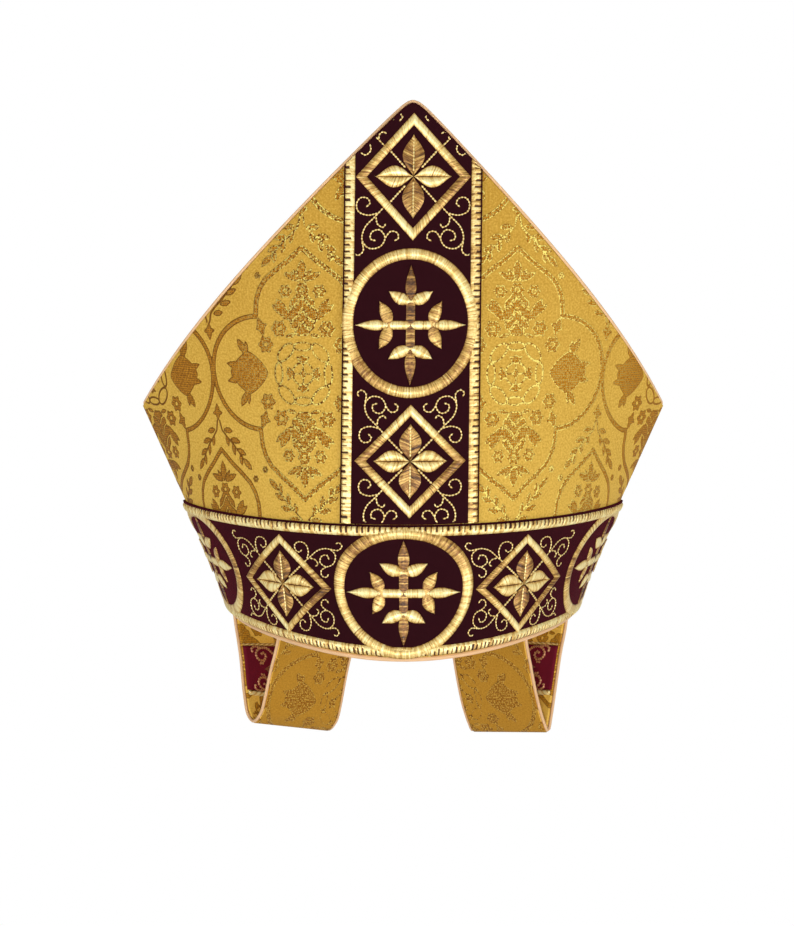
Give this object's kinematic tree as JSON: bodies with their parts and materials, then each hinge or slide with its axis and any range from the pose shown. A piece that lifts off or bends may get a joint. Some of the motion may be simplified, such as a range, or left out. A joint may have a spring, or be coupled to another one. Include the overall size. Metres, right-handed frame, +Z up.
{
  "type": "bishop mitre",
  "caption": "Ceremonial hat with two pointed stiff horns of gold brocade, an embroidered maroon band and strip, and hanging lappets folded up at the back.",
  "frame": {"origin": "centre of the oval brim, in the plane that the brim's edge lies in, where the hat sits on a head", "axes": "+Z up along the height of the horns, front horn towards -Y, +X to the right seen from the front"},
  "size_m": [0.2762, 0.2459, 0.3668],
  "materials": {
    "brocade": "woven gold damask",
    "lining_satin": "plain satin weave",
    "maroon_ground": "matt plain weave",
    "gold_thread": "metallic satin stitch",
    "peach_cord": "satin-covered cord"
  },
  "bodies": {
    "root": {"front_panel": "brocade", "back_panel": "brocade", "crown_gusset": "lining_satin", "circlet_band": "maroon_ground", "circlet_upper_galloon": "gold_thread", "circlet_lower_galloon": "gold_thread", "front_strip": "maroon_ground", "back_strip": "maroon_ground", "front_strip_left_galloon": "gold_thread", "front_strip_right_galloon": "gold_thread", "back_strip_left_galloon": "gold_thread", "back_strip_right_galloon": "gold_thread", "brim_piping": "peach_cord", "front_edge_piping": "peach_cord", "back_edge_piping": "peach_cord", "left_lappet": "brocade", "left_lappet_piping": "peach_cord", "left_lappet_patch": "maroon_ground", "left_lappet_lower_cord": "gold_thread", "left_lappet_upper_cord": "gold_thread", "right_lappet": "brocade", "right_lappet_piping": "peach_cord", "right_lappet_patch": "maroon_ground", "right_lappet_lower_cord": "gold_thread", "right_lappet_upper_cord": "gold_thread"}
  },
  "joints": []
}
